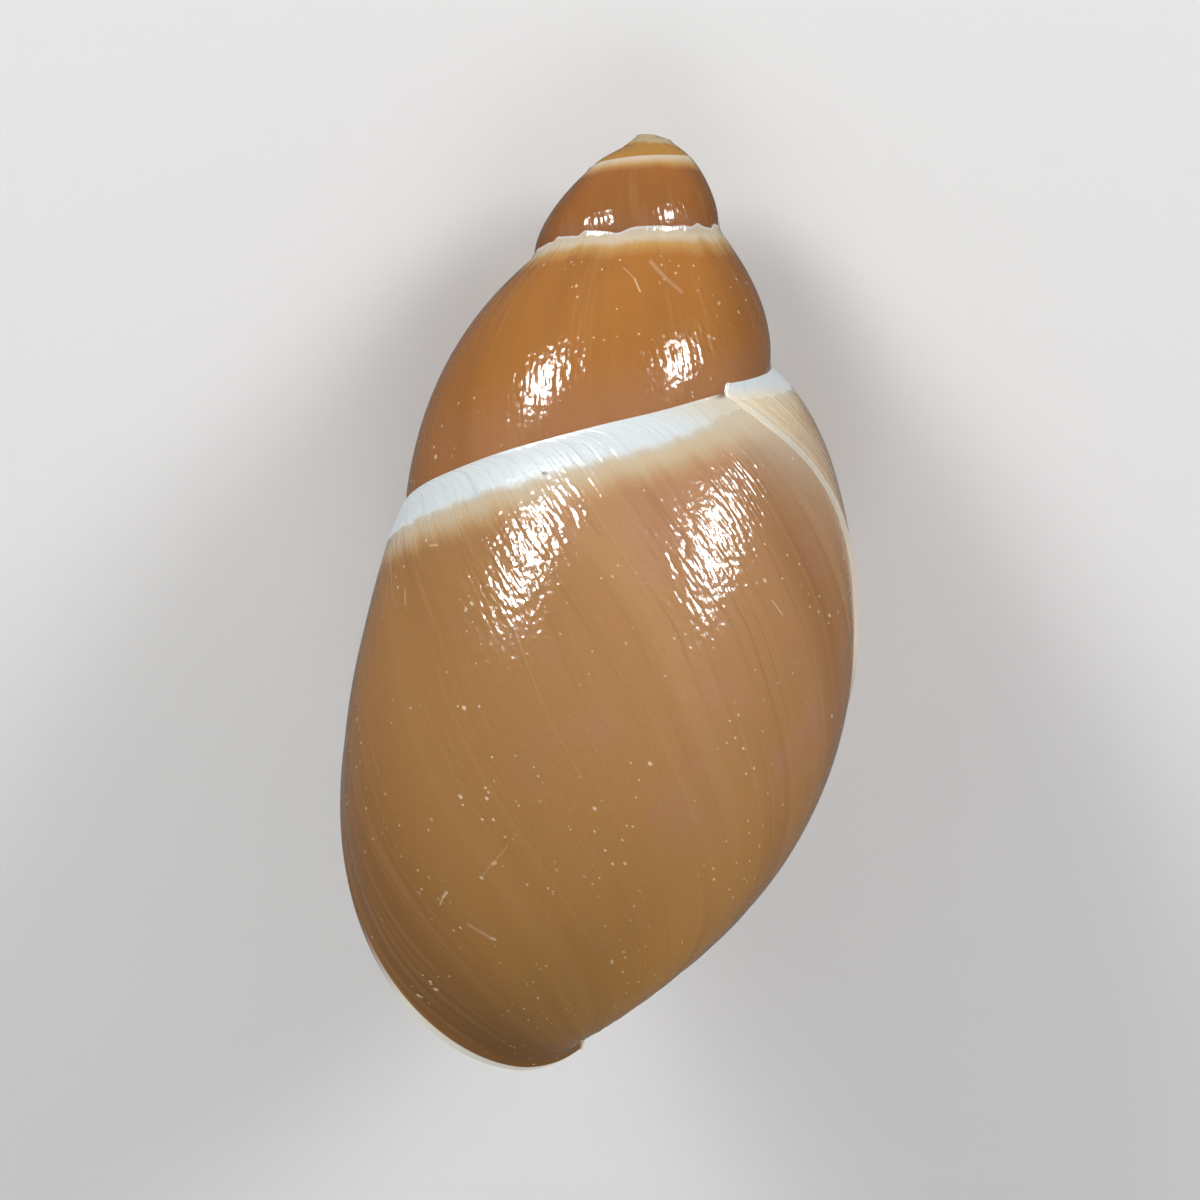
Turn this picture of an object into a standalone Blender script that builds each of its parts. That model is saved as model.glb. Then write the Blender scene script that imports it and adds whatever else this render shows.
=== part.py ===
"""Shell of a small land snail, coiled to the right, empty, lying on its mouth.

The shell grew as one piece, so it is one closed solid: an outside skin, a rounded lip,
and a hollow that follows the coil inwards from the mouth for one and a half turns.
Lengths are in millimetres until the mesh is written, in metres.

Growth is counted in turns round the axis. Turn 0 is where the lip meets the suture and
older growth is negative. Across a whorl, v runs from 0 at the suture over 1 at the widest
line, where the next whorl would have started, to 2 at the foot of the pillar.
"""

import bmesh
import bpy
import numpy as np
from mathutils import Matrix

MM = 0.001
TAU = 2.0 * np.pi

# Suture, one station each half turn from the worn tip to the widest line of the last whorl
STATION_RADII = np.array([0.45, 0.8, 1.3, 1.6, 2.6, 3.75, 4.75, 6.8, 8.7, 13.9, 15.4, 16.1])
STATION_DROPS = np.array([1.3, 1.35, 1.5, 2.2, 2.5, 3.95, 6.9, 9.85, 15.5, 26.5, 31.6, 35.7])
STATIONS_PER_TURN = 2
FIRST_STATION = -4.68
RIGHT_OUTLINE = -0.68
TIP_DROP = 1.25

# Convexity of a whorl between two sutures
SHOULDER_ANGLE = 0.62
SHOULDER_ANGLE_PER_TURN = -0.31
SHOULDER_REACH = 0.05
FLANK_ANGLE = 0.105
FLANK_ANGLE_PER_TURN = 0.14
FLANK_REACH = 0.8
FLANK_REACH_PER_TURN = 0.28

# Base of a whorl, from its widest line in to the pillar
PILLAR_RADIUS = 1.55
PILLAR_TIP_RADIUS = 0.45
PILLAR_TAPER_TURNS = 0.9
BASE_DEPTH = 1.68
BASE_DEPTH_AT_LIP = 1.59
BASE_REACH = (0.58, -0.04)
FOOT_ANGLE = (-0.52, -1.08, 0.43)
FOOT_REACH = (0.285, 0.96, 0.706)
OLDEST_BASE = -1.3

# Growth lines and the lip lag behind the suture as they run down a whorl
LAG_PER_V = 0.145
FOOT_LAG = 2.0 * LAG_PER_V
LEAN_BY = 0.35

# Walls, lip and the corner where the hollow starts below the suture
WALL = 0.9
WALL_AT_LIP = 0.35
LIP_BEAD = 0.9
LIP_FLARE = 0.25
CORNER_V = 0.72
CORNER_V_PER_TURN = 0.5
CORNER_ON_WALL = 0.105
BASE_WALL = 1.6

# Relief: raised edge along the suture, and the lip of an earlier rest in growth
SUTURE_EDGE = 0.16
OLD_LIP = -0.528
OLD_LIP_HEIGHT = 0.35
OLD_LIP_END = 1.12

# How finely each direction is divided
SPOKES = 36
UPPER_ROWS = 6
LOWER_ROWS = 14
RIM_ROWS = 4
PILLAR_ROWS = 10
HOLLOW_TURNS = 1.5
HOLLOW_RINGS = 34

# Resting attitude on the table, and how much the spots that touch it are worn flat
PITCH = -18.0
ROLL = 0.0
WORN_FLAT = 0.25

SHELL_COLOUR = (0.46, 0.25, 0.11, 1.0)


def smooth(x):
    """Ramp from 0 to 1 with level ends."""
    x = np.clip(x, 0.0, 1.0)
    return x * x * (3.0 - 2.0 * x)


def along_stations(values, turn):
    """Smooth curve through the logarithms of the stations, read at a turn."""
    logs = np.log(values)
    last = len(logs) - 1
    place = np.clip((np.asarray(turn, float) - FIRST_STATION) * STATIONS_PER_TURN, 0.0, last - 1e-9)
    index = np.floor(place).astype(int)
    f = place - index
    padded = np.concatenate([[2 * logs[0] - logs[1]], logs, [2 * logs[-1] - logs[-2]]])
    before, start, end, after = (padded[index + k] for k in range(4))
    start_slope = (end - before) / 2
    end_slope = (after - start) / 2
    return np.exp(
        (2 * f**3 - 3 * f**2 + 1) * start
        + (f**3 - 2 * f**2 + f) * start_slope
        + (3 * f**2 - 2 * f**3) * end
        + (f**3 - f**2) * end_slope
    )


def suture(turn):
    """Radius from the axis and drop below the tip of the suture."""
    return along_stations(STATION_RADII, turn), along_stations(STATION_DROPS, turn)


def bezier(p0, p1, p2, p3, u):
    """Cubic Bezier curve in one coordinate."""
    return (1 - u) ** 3 * p0 + 3 * u * (1 - u) ** 2 * p1 + 3 * u**2 * (1 - u) * p2 + u**3 * p3


def pillar(turn):
    """Radius of the pillar where the whorl of a turn meets it, tapering to the tip at the lip."""
    return PILLAR_TIP_RADIUS + (PILLAR_RADIUS - PILLAR_TIP_RADIUS) * smooth(
        (-FOOT_LAG - turn) / PILLAR_TAPER_TURNS
    )


def outline(turn, v):
    """Radius and drop of the whorl's outline in the half plane through the axis at a turn."""
    turn, v = np.broadcast_arrays(np.asarray(turn, float), np.asarray(v, float))
    top_r, top_d = suture(turn)
    wide_r, wide_d = suture(turn + 1.0)
    stage = turn + 0.5
    leave = SHOULDER_ANGLE + SHOULDER_ANGLE_PER_TURN * stage
    flank = FLANK_ANGLE + FLANK_ANGLE_PER_TURN * stage
    span = np.hypot(wide_r - top_r, wide_d - top_d)
    reach = np.clip(FLANK_REACH + FLANK_REACH_PER_TURN * stage, 0.1, 0.8) * span
    start = SHOULDER_REACH * span
    u = np.clip(v, 0.0, 1.0)
    upper_r = bezier(top_r, top_r + start * np.cos(leave), wide_r - reach * np.sin(flank), wide_r, u)
    upper_d = bezier(top_d, top_d + start * np.sin(leave), wide_d - reach * np.cos(flank), wide_d, u)

    age = np.clip(turn + FOOT_LAG, OLDEST_BASE, 0.3)
    depth = BASE_DEPTH + (BASE_DEPTH_AT_LIP - BASE_DEPTH) * smooth(1.0 + age / 0.35)
    foot_d = wide_d + depth * wide_r
    foot_r = pillar(turn)
    span = np.hypot(wide_r - foot_r, foot_d - wide_d)
    start = (BASE_REACH[0] + BASE_REACH[1] * age) * span
    foot_angle = FOOT_ANGLE[0] + FOOT_ANGLE[1] * age + FOOT_ANGLE[2] * age**2
    foot_reach = np.clip(FOOT_REACH[0] + FOOT_REACH[1] * age + FOOT_REACH[2] * age**2, 0.05, 0.6) * span
    u = np.clip(v - 1.0, 0.0, 1.0)
    lower_r = bezier(
        wide_r,
        wide_r + start * np.sin(flank),
        foot_r + foot_reach * np.cos(foot_angle),
        foot_r,
        u,
    )
    lower_d = bezier(
        wide_d,
        wide_d + start * np.cos(flank),
        foot_d - foot_reach * np.sin(foot_angle),
        foot_d,
        u,
    )
    return np.where(v <= 1.0, upper_r, lower_r), np.where(v <= 1.0, upper_d, lower_d)


def outward(turn, v):
    """Unit normal of the outline in its half plane, pointing out of the shell."""
    step = 0.004
    r0, d0 = outline(turn, np.clip(v - step, 0.0, 2.0))
    r1, d1 = outline(turn, np.clip(v + step, 0.0, 2.0))
    length = np.hypot(r1 - r0, d1 - d0)
    return (d1 - d0) / length, -(r1 - r0) / length


def relief(turn, v):
    """How far the surface stands out from the plain outline."""
    size = suture(turn)[0] / 14.0
    edge = SUTURE_EDGE * size**0.5 * smooth(v / 0.04) * np.exp(-np.maximum(v - 0.04, 0.0) / 0.10)
    since = turn + LAG_PER_V * v - OLD_LIP
    before = smooth((since + 0.05) / 0.046) * (since < 0.0)
    after = -0.3 * np.exp(-np.maximum(since, 0.0) / 0.012) * (since >= 0.0)
    fade = smooth((OLD_LIP_END + 0.08 - v) / 0.16) * (0.35 + 0.65 * smooth(v / 0.3))
    flare = LIP_FLARE * np.exp(np.minimum(turn + LAG_PER_V * v, 0.0) / 0.012) * smooth(v / 0.4)
    last_whorl = turn > -1.0
    return edge + last_whorl * (OLD_LIP_HEIGHT * fade * (before + after) + flare * smooth((2.0 - v) / 0.2))


def skin(turn, v):
    """Outside surface: the outline with its relief."""
    turn, v = np.broadcast_arrays(np.asarray(turn, float), np.asarray(v, float))
    r, d = outline(turn, v)
    out_r, out_d = outward(turn, v)
    height = relief(turn, v) * (v > 0.0) * (v < 2.0)
    return r + height * out_r, d + height * out_d


def place(turn, r, d):
    """Point in space: X to the right, Y up the axis, Z out of the back of the shell."""
    angle = TAU * (np.asarray(turn, float) - RIGHT_OUTLINE)
    return np.stack(np.broadcast_arrays(r * np.cos(angle), -d, r * np.sin(angle)), axis=-1)


def spokes():
    """Places round one turn, closer together beside the earlier lip and before the mouth."""
    even = np.arange(SPOKES) / SPOKES
    ledge = 1.0 + OLD_LIP
    close = np.array([ledge - 0.012, ledge - 0.002, ledge + 0.002, 0.987])
    kept = even[np.abs(even[:, None] - close).min(axis=1) > 0.006]
    return np.sort(np.concatenate([kept, close]))


def wall_lag(v):
    """Lag of the mouth's line on the wall of the whorl before, from the suture to the pillar."""
    return FOOT_LAG * np.sqrt(np.clip(v - 1.0, 0.0, 1.0))


def leaned(share, v):
    """Turn of a point of the last whorl: upright at its start, along the growth lines soon after."""
    lean = smooth(share / LEAN_BY)
    return -1.0 + share - LAG_PER_V * v * lean - wall_lag(v) * (1.0 - lean)


class Mesh:
    """Vertices and faces collected one patch at a time."""

    def __init__(self):
        self.points = []
        self.faces = []

    def add(self, point):
        self.points.append(tuple(float(c) for c in point))
        return len(self.points) - 1

    def patch(self, ids):
        """Faces between neighbouring rows and columns, leaving out corners that coincide."""
        ids = np.asarray(ids)
        for i in range(ids.shape[0] - 1):
            for j in range(ids.shape[1] - 1):
                ring = [ids[i, j], ids[i + 1, j], ids[i + 1, j + 1], ids[i, j + 1]]
                corners = [int(a) for k, a in enumerate(ring) if a != ring[k - 1]]
                if len(corners) > 2:
                    self.faces.append(corners)

    def fan(self, centre, loop):
        """Triangles from one point to each edge of a loop."""
        for a, b in zip(loop[:-1], loop[1:]):
            self.faces.append([centre, int(a), int(b)])


def row_places():
    """v of each row of the last whorl, with rows for the lip's thickness just below the widest line."""
    upper = np.concatenate([[0.0, 0.04], np.linspace(0.04, 1.0, UPPER_ROWS)[1:]])
    rim = 1.0 + CORNER_ON_WALL * np.arange(1, RIM_ROWS + 1) / RIM_ROWS
    lower = np.linspace(1.0 + CORNER_ON_WALL, 2.0, LOWER_ROWS - RIM_ROWS + 1)[1:]
    return np.concatenate([upper, rim, lower])


def outside(mesh):
    """Skin from the tip to the lip, glued along the suture. Returns the last whorl's vertex numbers."""
    shares = spokes()
    per_turn = len(shares)
    v_rows = row_places()
    first = int(np.argmax(shares >= FIRST_STATION + 5.0))
    turns = np.concatenate([whorl + shares for whorl in (-5.0, -4.0, -3.0, -2.0, -1.0)] + [[0.0]])[first:]
    last = len(turns) - 1
    start = last - per_turn

    edge = [mesh.add(p) for p in place(turns, *suture(turns))]
    columns = []
    for c in range(start + 1):
        inner_v = v_rows[1:UPPER_ROWS]
        points = place(turns[c], *skin(turns[c], inner_v))
        columns.append([edge[c]] + [mesh.add(p) for p in points] + [edge[c + per_turn]])
    mesh.patch(columns)
    tip = mesh.add((0.0, -TIP_DROP, 0.0))
    mesh.fan(tip, edge[: per_turn + 1] + columns[0][-2::-1])

    body = []
    ring_d = outline(-FOOT_LAG, 2.0)[1]
    down = np.concatenate(
        [
            np.linspace(0.0, 1.0, PILLAR_ROWS - RIM_ROWS + 1)[:-1] * pillar_wall_share(),
            np.linspace(pillar_wall_share(), 1.0, RIM_ROWS + 1),
        ]
    )
    for c in range(start, last + 1):
        share = turns[c] + 1.0
        if c == start:
            rows = list(columns[start])
            v = v_rows[UPPER_ROWS + 1 :]
        else:
            rows = [edge[c]]
            v = v_rows[1:]
        if c == last:
            v = v[:-1]
        t = leaned(share, v)
        rows += [mesh.add(p) for p in place(t, *skin(t, v))]
        if c == last:
            rows += [body[0][-1]] * (PILLAR_ROWS + 1)
        else:
            foot_turn = leaned(share, 2.0)
            foot_d = outline(foot_turn, 2.0)[1]
            depths = foot_d + (ring_d - foot_d) * down[1:]
            radii = pillar(foot_turn) + (PILLAR_TIP_RADIUS - pillar(foot_turn)) * down[1:]
            rows += [mesh.add(p) for p in place(foot_turn, radii, depths)]
        body.append(rows)
    mesh.patch(body)
    end = mesh.add((0.0, -ring_d - 0.4 * PILLAR_TIP_RADIUS, 0.0))
    mesh.fan(end, [rows[-1] for rows in body])
    return body


def pillar_wall_share():
    """Share of the pillar's bare length, at the mouth's line, that lies above the base's wall."""
    top = outline(-1.0 - FOOT_LAG, 2.0)[1]
    foot = outline(-FOOT_LAG, 2.0)[1]
    return 1.0 - BASE_WALL / (foot - top)


def wall(turn, v, mouth):
    """Thickness of the outer wall, thinner in older whorls and thicker at the mouth."""
    size = (suture(turn)[0] / 14.0) ** 0.6
    return WALL * size + WALL_AT_LIP * mouth


def hollow_ring(turn, mouth):
    """Closed loop of points round the hollow at a growth stage: outer wall, pillar, inner wall."""
    v_rows = row_places()
    lean = smooth(1.0 + turn)
    corner_v = np.clip(CORNER_V + CORNER_V_PER_TURN * turn, 0.15, 1.0)
    corner = CORNER_ON_WALL * corner_v / CORNER_V

    v = v_rows + corner_v * (1.0 - v_rows / 2.0) ** 2.5
    v = v[1:-1]
    t = turn - LAG_PER_V * v * lean
    r, d = outline(t, v)
    out_r, out_d = outward(t, v)
    thick = wall(t, v, mouth)
    outer = place(t, np.maximum(r - thick * out_r, pillar(t) + 0.3), d - thick * out_d)

    foot_turn = turn - FOOT_LAG * lean
    top = outline(foot_turn - 1.0, 2.0)[1]
    foot = outline(foot_turn, 2.0)[1]
    share = np.linspace(pillar_wall_share(), 0.0, PILLAR_ROWS - RIM_ROWS + 1)
    radii = pillar(foot_turn - 1.0) + (pillar(foot_turn) - pillar(foot_turn - 1.0)) * share
    post = place(foot_turn, radii, top + (foot - top) * share)

    rows = (v_rows[UPPER_ROWS + RIM_ROWS : -1] - 1.0 - CORNER_ON_WALL) / (1.0 - CORNER_ON_WALL)
    v = 1.0 + corner + (1.0 - corner) * rows[::-1]
    t = turn - wall_lag(v) * lean
    inner = place(t, *outline(t - 1.0, v))
    return np.concatenate([inner[-1:], outer, post, inner[:-1]])


def rim(mesh, body):
    """Rounded lip from the last column of the skin to the mouth of the hollow."""
    v = row_places()[1:-1]
    turn = -LAG_PER_V * v
    edge = place(turn, *skin(turn, v))
    step = 0.004
    ahead = place(turn - LAG_PER_V * step, *outline(turn - LAG_PER_V * step, np.minimum(v + step, 2.0)))
    behind = place(turn + LAG_PER_V * step, *outline(turn + LAG_PER_V * step, v - step))
    along = ahead - behind
    out_r, out_d = outward(turn, v)
    out = place(turn, out_r, out_d)
    forward = np.cross(along, out)
    forward /= np.linalg.norm(forward, axis=1)[:, None]
    inner = hollow_ring(0.0, 1.0)[1 : len(v) + 1]
    start, last = body[0], body[-1]
    strips = [last[: UPPER_ROWS + LOWER_ROWS + 1]]
    for k in range(1, RIM_ROWS + 1):
        share = k / RIM_ROWS
        angle = np.pi * share
        blend = (1.0 - np.cos(angle)) / 2.0
        bead = LIP_BEAD * np.sin(angle) * smooth(v / 0.6) * smooth((2.0 - v) / 0.3)
        points = edge + (inner - edge) * blend + forward * bead[:, None]
        middle = [mesh.add(p) for p in points]
        strips.append([start[UPPER_ROWS + k]] + middle + [start[-1 - k]])
    mesh.patch(strips)
    return strips[-1]


def hollow(mesh, body, mouth_edge):
    """Wall of the hollow from the mouth inwards, closed at its deep end."""
    start = body[0]
    foot = UPPER_ROWS + LOWER_ROWS
    post = start[foot : foot + PILLAR_ROWS - RIM_ROWS][::-1]
    inner = start[UPPER_ROWS + RIM_ROWS : foot][::-1]
    loop = list(mouth_edge) + list(post) + list(inner)
    rings = [loop]
    for k in range(1, HOLLOW_RINGS + 1):
        turn = -HOLLOW_TURNS * k / HOLLOW_RINGS
        mouth = np.exp(turn / 0.03)
        points = hollow_ring(turn, mouth)
        ids = [mesh.add(p) for p in points]
        rings.append(ids + ids[:1])
    mesh.patch(rings)
    centre = mesh.add(np.mean([mesh.points[i] for i in rings[-1][:-1]], axis=0))
    mesh.fan(centre, rings[-1])


def shell_mesh():
    """All patches of the shell in its own frame, in millimetres."""
    mesh = Mesh()
    body = outside(mesh)
    mouth_edge = rim(mesh, body)
    hollow(mesh, body, mouth_edge)
    return mesh


def rest_on_table(bm):
    """Turns the shell onto its mouth, sets it down and wears flat the spots that touch."""
    turn = Matrix.Rotation(np.radians(ROLL), 4, "Y") @ Matrix.Rotation(np.radians(PITCH), 4, "X")
    bmesh.ops.transform(bm, matrix=turn, verts=bm.verts)
    low = min(v.co.z for v in bm.verts) + WORN_FLAT * MM
    xs = [v.co.x for v in bm.verts]
    ys = [v.co.y for v in bm.verts]
    shift = (-(min(xs) + max(xs)) / 2, -(min(ys) + max(ys)) / 2, -low)
    bmesh.ops.translate(bm, vec=shift, verts=bm.verts)
    geometry = bm.verts[:] + bm.edges[:] + bm.faces[:]
    bmesh.ops.bisect_plane(bm, geom=geometry, plane_co=(0, 0, 0), plane_no=(0, 0, -1), clear_outer=True)
    rims = [e for e in bm.edges if e.is_boundary]
    bmesh.ops.holes_fill(bm, edges=rims, sides=0)


def glossy_shell_material():
    """Polished orange-brown shell."""
    material = bpy.data.materials.new("glossy_shell")
    material.use_nodes = True
    surface = material.node_tree.nodes["Principled BSDF"]
    surface.inputs["Base Color"].default_value = SHELL_COLOUR
    surface.inputs["Roughness"].default_value = 0.22
    surface.inputs["Metallic"].default_value = 0.0
    return material


def main():
    for obj in list(bpy.data.objects):
        bpy.data.objects.remove(obj, do_unlink=True)
    mesh = shell_mesh()
    data = bpy.data.meshes.new("shell")
    data.from_pydata([[c * MM for c in p] for p in mesh.points], [], mesh.faces)
    bm = bmesh.new()
    bm.from_mesh(data)
    bmesh.ops.recalc_face_normals(bm, faces=bm.faces)
    rest_on_table(bm)
    bmesh.ops.triangulate(bm, faces=bm.faces, quad_method="SHORT_EDGE")
    bm.to_mesh(data)
    bm.free()
    data.shade_smooth()
    data.set_sharp_from_angle(angle=np.radians(35.0))
    data.materials.append(glossy_shell_material())
    shell = bpy.data.objects.new("shell", data)
    bpy.context.scene.collection.objects.link(shell)


main()
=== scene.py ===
"""Glossy brown land snail shell on a pale table, seen from its back.

The shell is one closed surface made of grids: the skin of the spire, the skin of the last
whorl with its pillar, the lip, and the hollow behind the mouth. Lengths are in millimetres
until the mesh is written. Growth is counted in turns round the axis: turn 0 is where the
lip meets the suture, and older growth is negative. Across a whorl, v runs from 0 at the
suture over 1 at the widest line to 2 at the pillar.
"""

import bmesh
import bpy
import numpy as np
from mathutils import Matrix, Vector


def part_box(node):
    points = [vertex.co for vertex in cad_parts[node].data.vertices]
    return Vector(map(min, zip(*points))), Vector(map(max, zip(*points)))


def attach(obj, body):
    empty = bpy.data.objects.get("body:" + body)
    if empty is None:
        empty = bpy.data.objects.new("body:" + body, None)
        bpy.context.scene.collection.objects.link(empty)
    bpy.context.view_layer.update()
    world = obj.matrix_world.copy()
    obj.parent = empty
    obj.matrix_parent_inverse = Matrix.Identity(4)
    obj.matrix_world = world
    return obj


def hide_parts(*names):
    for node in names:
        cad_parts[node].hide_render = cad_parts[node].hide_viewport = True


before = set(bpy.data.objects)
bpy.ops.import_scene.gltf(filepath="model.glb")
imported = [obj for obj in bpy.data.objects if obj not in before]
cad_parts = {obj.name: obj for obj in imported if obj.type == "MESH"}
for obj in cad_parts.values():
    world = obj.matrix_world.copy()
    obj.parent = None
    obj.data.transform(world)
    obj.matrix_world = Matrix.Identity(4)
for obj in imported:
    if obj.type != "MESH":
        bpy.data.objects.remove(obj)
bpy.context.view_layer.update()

bl_info = {
    "name": "Land snail shell",
    "version": (1, 0, 0),
    "blender": (4, 5, 0),
    "location": "3D View > Sidebar > Shell",
    "description": "Grows a glossy land snail shell and lays it on a pale table",
    "category": "Add Mesh",
}

MM = 0.001
TAU = 2.0 * np.pi

# Suture, one station each half turn from the worn tip to the widest line of the last whorl
STATION_RADII = np.array([0.45, 0.8, 1.3, 1.6, 2.6, 3.75, 4.75, 6.8, 8.7, 13.9, 15.4, 16.1])
STATION_DROPS = np.array([1.3, 1.35, 1.5, 2.2, 2.5, 3.95, 6.9, 9.85, 15.5, 26.5, 31.6, 35.7])
STATIONS_PER_TURN = 2
FIRST_STATION = -4.68
RIGHT_OUTLINE = -0.68
TIP_DROP = 1.25

# Convexity of a whorl between two sutures
SHOULDER_ANGLE = 0.62
SHOULDER_ANGLE_PER_TURN = -0.31
SHOULDER_REACH = 0.05
FLANK_ANGLE = 0.105
FLANK_ANGLE_PER_TURN = 0.14
FLANK_REACH = 0.8
FLANK_REACH_PER_TURN = 0.28

# Base of a whorl, from its widest line in to the pillar
PILLAR_RADIUS = 1.55
PILLAR_TIP_RADIUS = 0.08
PILLAR_TAPER_TURNS = 0.9
BASE_DEPTH = 1.68
BASE_DEPTH_AT_LIP = 1.59
BASE_REACH = (0.58, -0.04)
FOOT_ANGLE = (-0.52, -1.08, 0.43)
FOOT_REACH = (0.285, 0.96, 0.706)
OLDEST_BASE = -1.3

# Growth lines and the lip lag behind the suture as they run down a whorl
LAG_PER_V = 0.145
FOOT_LAG = 2.0 * LAG_PER_V
LEAN_BY = 0.35
LINE_BEND = 0.25

# Corner where the hollow starts below the suture, and the wall left at the base
CORNER_V = 0.72
CORNER_V_PER_TURN = 0.5
CORNER_ON_WALL = 0.105
BASE_WALL = 1.6
WALL_AT_LIP = 0.35

# Edge of a lip from an earlier rest in growth: its turn, the v where it fades out, and how it bulges
OLD_LIP = -0.528
OLD_LIP_END = 1.12
OLD_LIP_BULGE = 0.037
BULGE_SPREAD = 0.08
BULGE_V = 0.43
BULGE_V_SPREAD = 0.33

# Where the seam is most ragged and where the whorls are domed: turn and spread in turns
RAGGED = (-1.45, 0.4)
DOMED = (-2.6, 0.55)

# How far down, in v, a whorl's top still follows the ragged seam
SEAM_SPREAD = 0.06

# How finely each direction is divided
SPOKES = 240
UPPER_ROWS = np.concatenate(
    [[0.0, 0.004, 0.009, 0.015, 0.022, 0.031, 0.043, 0.058], np.linspace(0.075, 1.0, 23)]
)
RIM_ROWS = 8
LOWER_ROWS = 56
PILLAR_ROWS = 24
TIP_RINGS = 5
HOLLOW_TURNS = 1.5
HOLLOW_RINGS = 110
CREASE_ANGLE = 32.0

# Marks in the polish, in millimetres: growth length and distance below the seam at both ends, and
# half the width; then the strength from 0 to 1
SCUFFS = (
    ((99.7, 3.6), (98.7, 4.6), 0.07, 0.5),
    ((98.7, 4.6), (98.3, 5.6), 0.10, 1.0),
    ((97.2, 3.2), (96.1, 4.5), 0.26, 0.35),
    ((96.1, 4.5), (95.0, 5.5), 0.22, 0.3),
    ((188.8, 11.3), (188.5, 12.2), 0.08, 0.9),
    ((222.6, 24.6), (221.9, 24.2), 0.08, 0.7),
    ((221.9, 24.2), (221.2, 23.9), 0.11, 1.0),
    ((221.5, 26.2), (220.6, 27.3), 0.22, 0.35),
    ((220.6, 27.3), (220.4, 27.4), 0.17, 1.0),
    ((217.7, 23.4), (214.2, 21.8), 0.05, 0.3),
    ((217.7, 23.4), (217.6, 23.4), 0.16, 1.0),
    ((216.1, 22.7), (215.8, 22.6), 0.14, 0.9),
    ((211.6, 31.2), (211.5, 31.1), 0.20, 1.0),
    ((210.7, 32.4), (210.6, 32.4), 0.14, 1.0),
    ((213.9, 5.5), (214.4, 6.4), 0.09, 0.6),
    ((209.9, 3.4), (209.2, 3.5), 0.10, 0.8),
)
SPECK = (198.7, 1.5)
SPECK_RADIUS = 0.16

# Resting attitude in degrees, and how the camera looks at the shell: lengths in pixels of the
# picture, except those named otherwise, and the axis's roll and tip in radians
PITCH = -18.0
IMAGE_SIDE = 1200.0
PIXEL_MM = 0.0642
LENS_PIXELS = 4200.0
VIEW_CENTRE_DROP = 470.0
AXIS_IN_IMAGE = (616.28, 582.16)
AXIS_ROLL = 0.0753
AXIS_TIP = 0.034
SENSOR_MM = 36.0
NEAREST_SEEN = 0.01

# Lamps: how far to the right, up and towards the camera, and the side panels' share of their
# power; distances and sizes in metres
SIDE_LAMPS = {"left": ((-0.62, 0.52, 0.60), 1.1), "right": ((0.72, 0.43, 0.62), 0.88)}
LOW_LAMP = (0.0, -0.65, 0.60)
LAMP_TILT = 0.3
LAMP_DISTANCE = 0.5
SHELL_MIDDLE = (0.0, 0.0, 0.016)
PANEL_SIZE = (0.2, 0.2)
GLINT_SIZE = (0.1, 0.15)
TABLE_REACH = 3.0
TABLE_ROUGHNESS = 0.9


def smooth(x):
    """Ramp from 0 to 1 with level ends: 3 x squared less 2 x cubed."""
    x = np.clip(x, 0.0, 1.0)
    return x * x * (3.0 - 2.0 * x)


def bell(x, middle, spread):
    """1 at the middle, falling to 1 over e at the spread: exp of minus the square."""
    return np.exp(-(((x - middle) / spread) ** 2))


def along_stations(values, turn):
    """Cubic curve through the logarithms of the stations, with slopes from their neighbours."""
    logs = np.log(values)
    last = len(logs) - 1
    at = np.clip((np.asarray(turn, float) - FIRST_STATION) * STATIONS_PER_TURN, 0.0, last - 1e-9)
    index = np.floor(at).astype(int)
    f = at - index
    padded = np.concatenate([[2 * logs[0] - logs[1]], logs, [2 * logs[-1] - logs[-2]]])
    before, start, end, after = (padded[index + k] for k in range(4))
    start_slope = (end - before) / 2
    end_slope = (after - start) / 2
    return np.exp(
        (2 * f**3 - 3 * f**2 + 1) * start
        + (f**3 - 2 * f**2 + f) * start_slope
        + (3 * f**2 - 2 * f**3) * end
        + (f**3 - f**2) * end_slope
    )


def suture(turn):
    """Radius from the axis and drop below the tip of the plain suture."""
    return along_stations(STATION_RADII, turn), along_stations(STATION_DROPS, turn)


def pillar(turn):
    """Radius of the pillar where the whorl of a turn meets it, tapering to the tip at the lip."""
    taper = smooth((-FOOT_LAG - turn) / PILLAR_TAPER_TURNS)
    return PILLAR_TIP_RADIUS + (PILLAR_RADIUS - PILLAR_TIP_RADIUS) * taper


def bezier(p0, p1, p2, p3, u):
    """Cubic Bezier curve in one coordinate."""
    return (1 - u) ** 3 * p0 + 3 * u * (1 - u) ** 2 * p1 + 3 * u**2 * (1 - u) * p2 + u**3 * p3


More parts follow.
